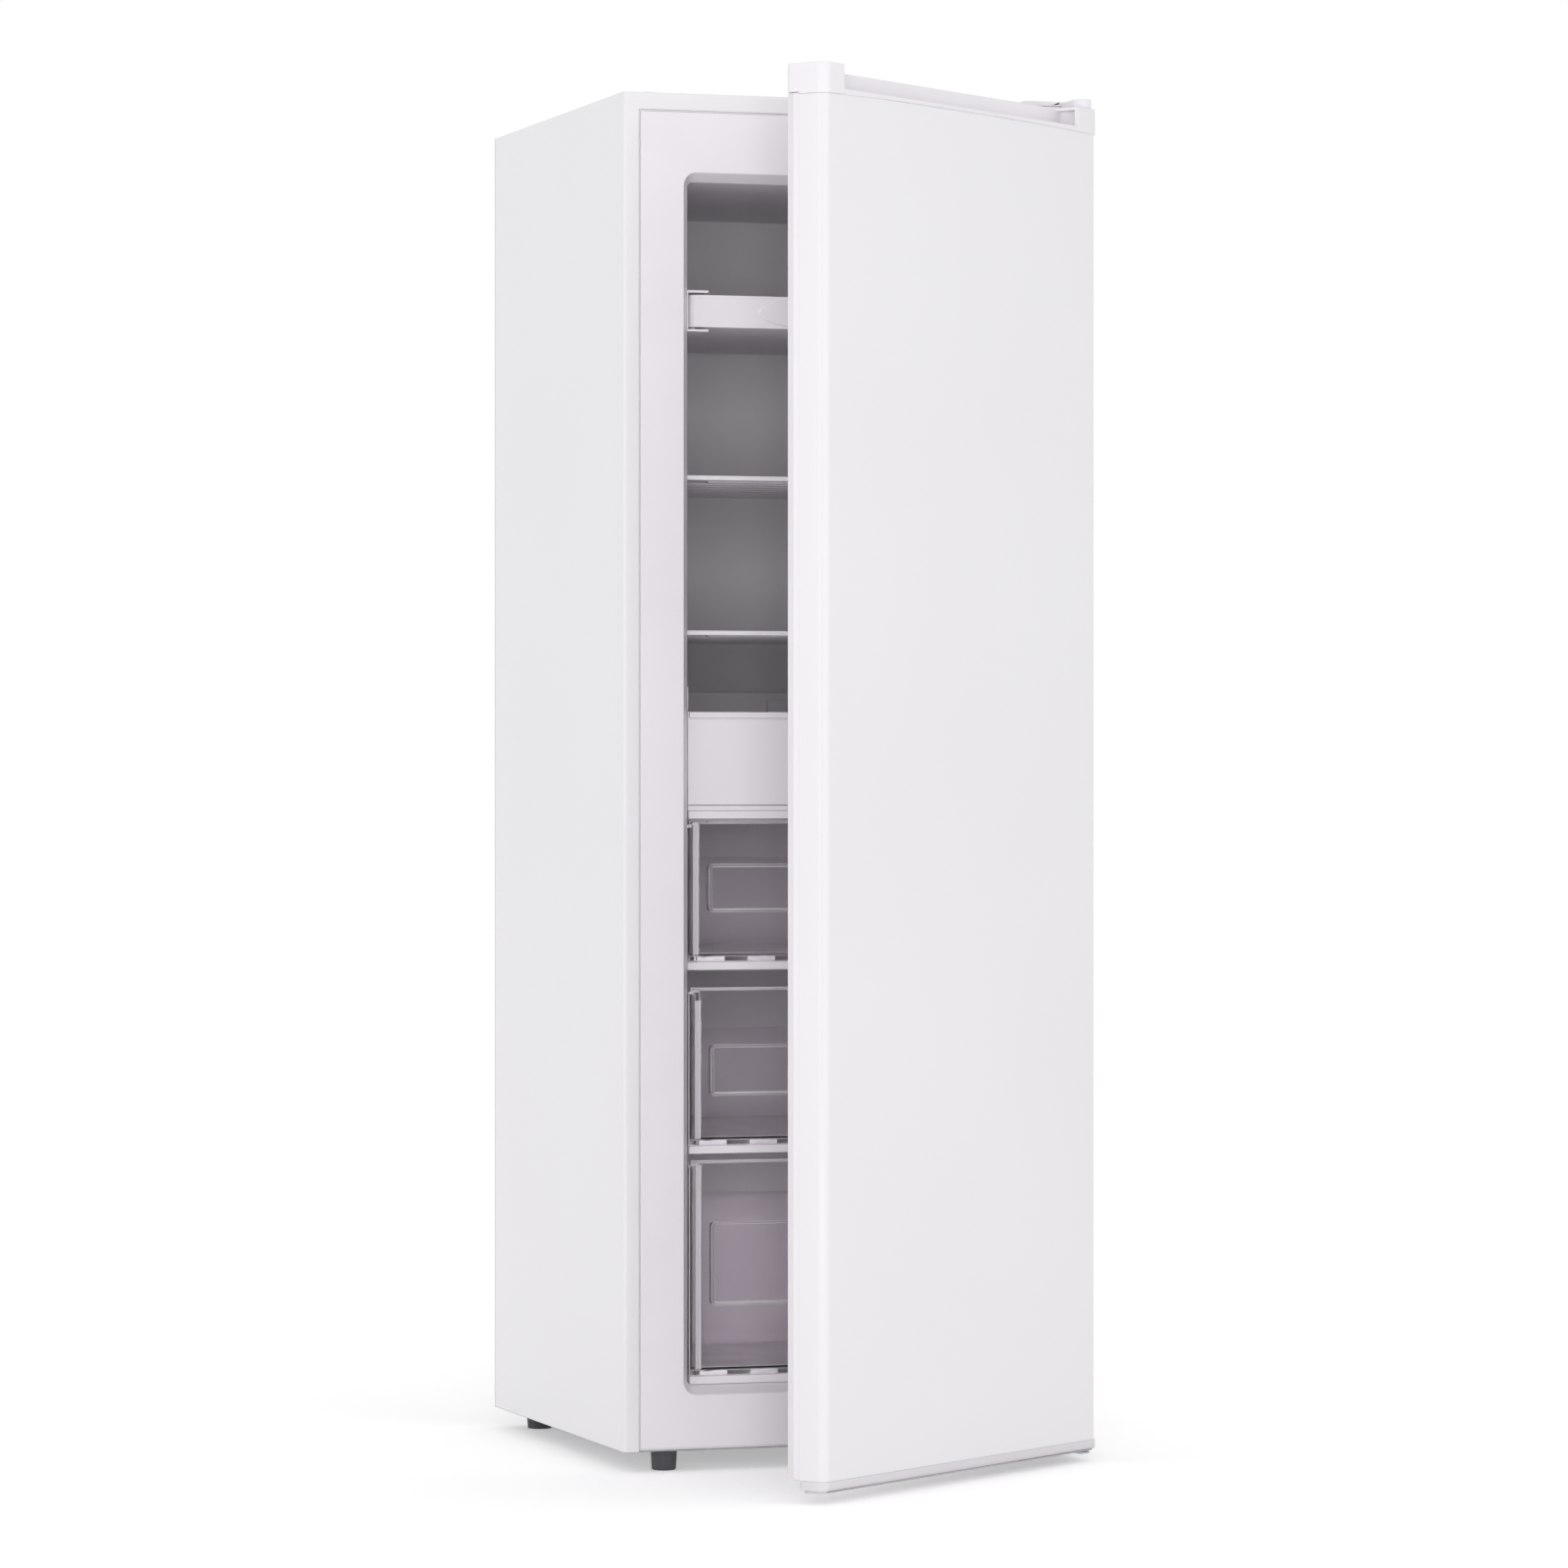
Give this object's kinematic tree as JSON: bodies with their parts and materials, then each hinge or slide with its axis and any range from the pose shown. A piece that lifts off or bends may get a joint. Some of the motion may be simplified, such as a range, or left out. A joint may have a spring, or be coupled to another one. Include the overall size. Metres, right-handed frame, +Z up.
{
  "type": "upright freezer",
  "caption": "White upright freezer with its door standing open, a pull-out tray, two shelves, a bin and three clear drawers.",
  "frame": {"origin": "on the floor under the middle of the cabinet", "axes": "+Z up, the door side faces -Y, +X to the right as seen from the front, where the hinges are"},
  "size_m": [0.5025, 0.8368, 1.4262],
  "materials": {
    "white_steel": "gloss",
    "galvanised_steel": "satin",
    "foam": "matte",
    "white_liner": "satin",
    "white_moulding": "satin",
    "roll_bond": "satin",
    "copper_steel": "satin",
    "black_paint": "satin",
    "rubber": "matte",
    "zinc": "satin",
    "dark_moulding": "matte",
    "white_gasket": "matte",
    "clear_plastic": "gloss"
  },
  "bodies": {
    "cabinet": {"outer_wrapper": "white_steel", "back_panel": "galvanised_steel", "base_plate": "galvanised_steel", "compressor_plate": "galvanised_steel", "cabinet_foam": "foam", "inner_liner": "white_liner", "tray_guides": "white_moulding", "evaporator_shelf_1": "roll_bond", "evaporator_shelf_2": "roll_bond", "evaporator_shelf_3": "roll_bond", "evaporator_shelf_4": "roll_bond", "evaporator_shelf_5": "roll_bond", "shelf_trim_1": "white_moulding", "shelf_trim_2": "white_moulding", "evaporator_riser": "roll_bond", "condenser_tube": "copper_steel", "suction_tube": "copper_steel", "discharge_tube": "copper_steel", "filter_dryer": "copper_steel", "capillary_tube": "copper_steel", "compressor": "black_paint", "compressor_grommets": "rubber", "compressor_bolts": "zinc", "terminal_cover": "dark_moulding", "cord_gland": "rubber", "thermostat_box": "white_moulding", "drain_tube": "dark_moulding", "leg_nuts": "zinc", "rear_feet": "dark_moulding", "top_hinge": "zinc", "bottom_hinge": "zinc", "hinge_screws": "zinc", "hinge_cover": "white_moulding", "spare_hole_plugs": "white_moulding"},
    "door": {"door_skin": "white_steel", "door_foam": "foam", "door_liner": "white_liner", "door_gasket": "white_gasket", "gasket_magnets": "dark_moulding", "door_top_cap": "white_moulding", "corner_cover": "white_moulding", "door_bottom_cap": "white_moulding", "hinge_bushes": "dark_moulding"},
    "tray": {"top_tray": "white_moulding"},
    "bin": {"bin_tub": "white_moulding", "bin_front": "white_moulding", "bin_rail": "white_moulding"},
    "upper_drawer_body": {"upper_drawer": "clear_plastic", "upper_drawer_rail": "white_moulding"},
    "middle_drawer_body": {"middle_drawer": "clear_plastic", "middle_drawer_rail": "white_moulding"},
    "lower_drawer_body": {"lower_drawer": "clear_plastic", "lower_drawer_rail": "white_moulding"},
    "knob": {"thermostat_knob": "white_moulding"},
    "left_leg": {"levelling_leg_left": "dark_moulding"},
    "right_leg": {"levelling_leg_right": "dark_moulding"}
  },
  "joints": [
    {"name": "door_hinge", "type": "hinge", "parent": "cabinet", "child": "door", "pos_m": [0.24, -0.2851, 0.72], "axis": [0, 0, 1], "range_deg": [-36.8, 80]},
    {"name": "tray_slide", "type": "slide", "parent": "cabinet", "child": "tray", "axis": [0, -1, 0], "range_m": [0, 0.05]},
    {"name": "bin_slide", "type": "slide", "parent": "cabinet", "child": "bin", "axis": [0, -1, 0], "range_m": [0, 0.05]},
    {"name": "upper_drawer_slide", "type": "slide", "parent": "cabinet", "child": "upper_drawer_body", "axis": [0, -1, 0], "range_m": [0, 0.05]},
    {"name": "middle_drawer_slide", "type": "slide", "parent": "cabinet", "child": "middle_drawer_body", "axis": [0, -1, 0], "range_m": [0, 0.05]},
    {"name": "lower_drawer_slide", "type": "slide", "parent": "cabinet", "child": "lower_drawer_body", "axis": [0, -1, 0], "range_m": [0, 0.05]},
    {"name": "thermostat_turn", "type": "hinge", "parent": "cabinet", "child": "knob", "pos_m": [-0.15, 0.2325, 0.211], "axis": [0, 1, 0], "range_deg": [0, 300]},
    {"name": "left_leg_height", "type": "slide", "parent": "cabinet", "child": "left_leg", "axis": [0, 0, -1], "range_m": [0, 0.01]},
    {"name": "right_leg_height", "type": "slide", "parent": "cabinet", "child": "right_leg", "axis": [0, 0, -1], "range_m": [0, 0.01]}
  ]
}
